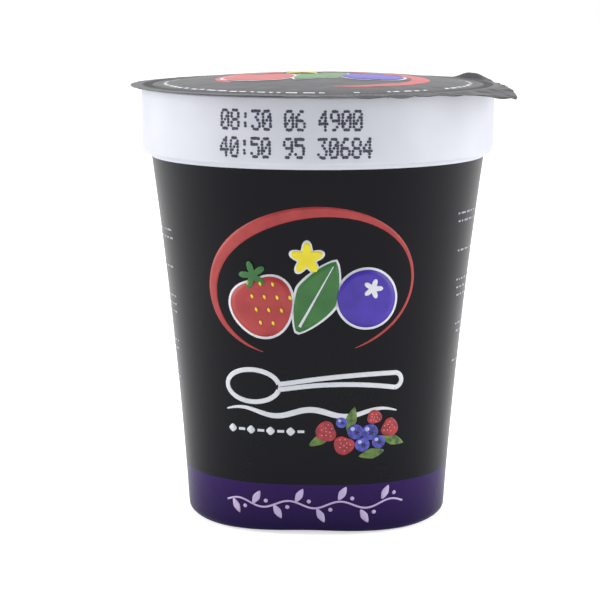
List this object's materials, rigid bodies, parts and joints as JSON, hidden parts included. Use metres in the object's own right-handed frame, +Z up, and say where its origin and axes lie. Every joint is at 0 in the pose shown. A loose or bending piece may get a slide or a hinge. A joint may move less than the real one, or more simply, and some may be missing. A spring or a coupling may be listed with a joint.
{
  "type": "yogurt pot",
  "caption": "Shut yogurt pot: a tapered plastic pot with a rounded square foot and a wide round collar, sealed by a foil lid with a pull tab.",
  "frame": {"origin": "on the pot's axis, in the plane that the foot stands on", "axes": "+Z up along the pot's axis; -Y out of the printed front; +X to the right of the front, the side that the pull tab points to"},
  "size_m": [0.0814, 0.0796, 0.0938],
  "materials": {
    "pot_plastic": "white moulded polypropylene with a glossy black and purple printed wall",
    "lid_foil": "printed lidding foil, satin, finely creased"
  },
  "bodies": {
    "root": {"pot": "pot_plastic", "lid": "lid_foil"}
  },
  "joints": []
}
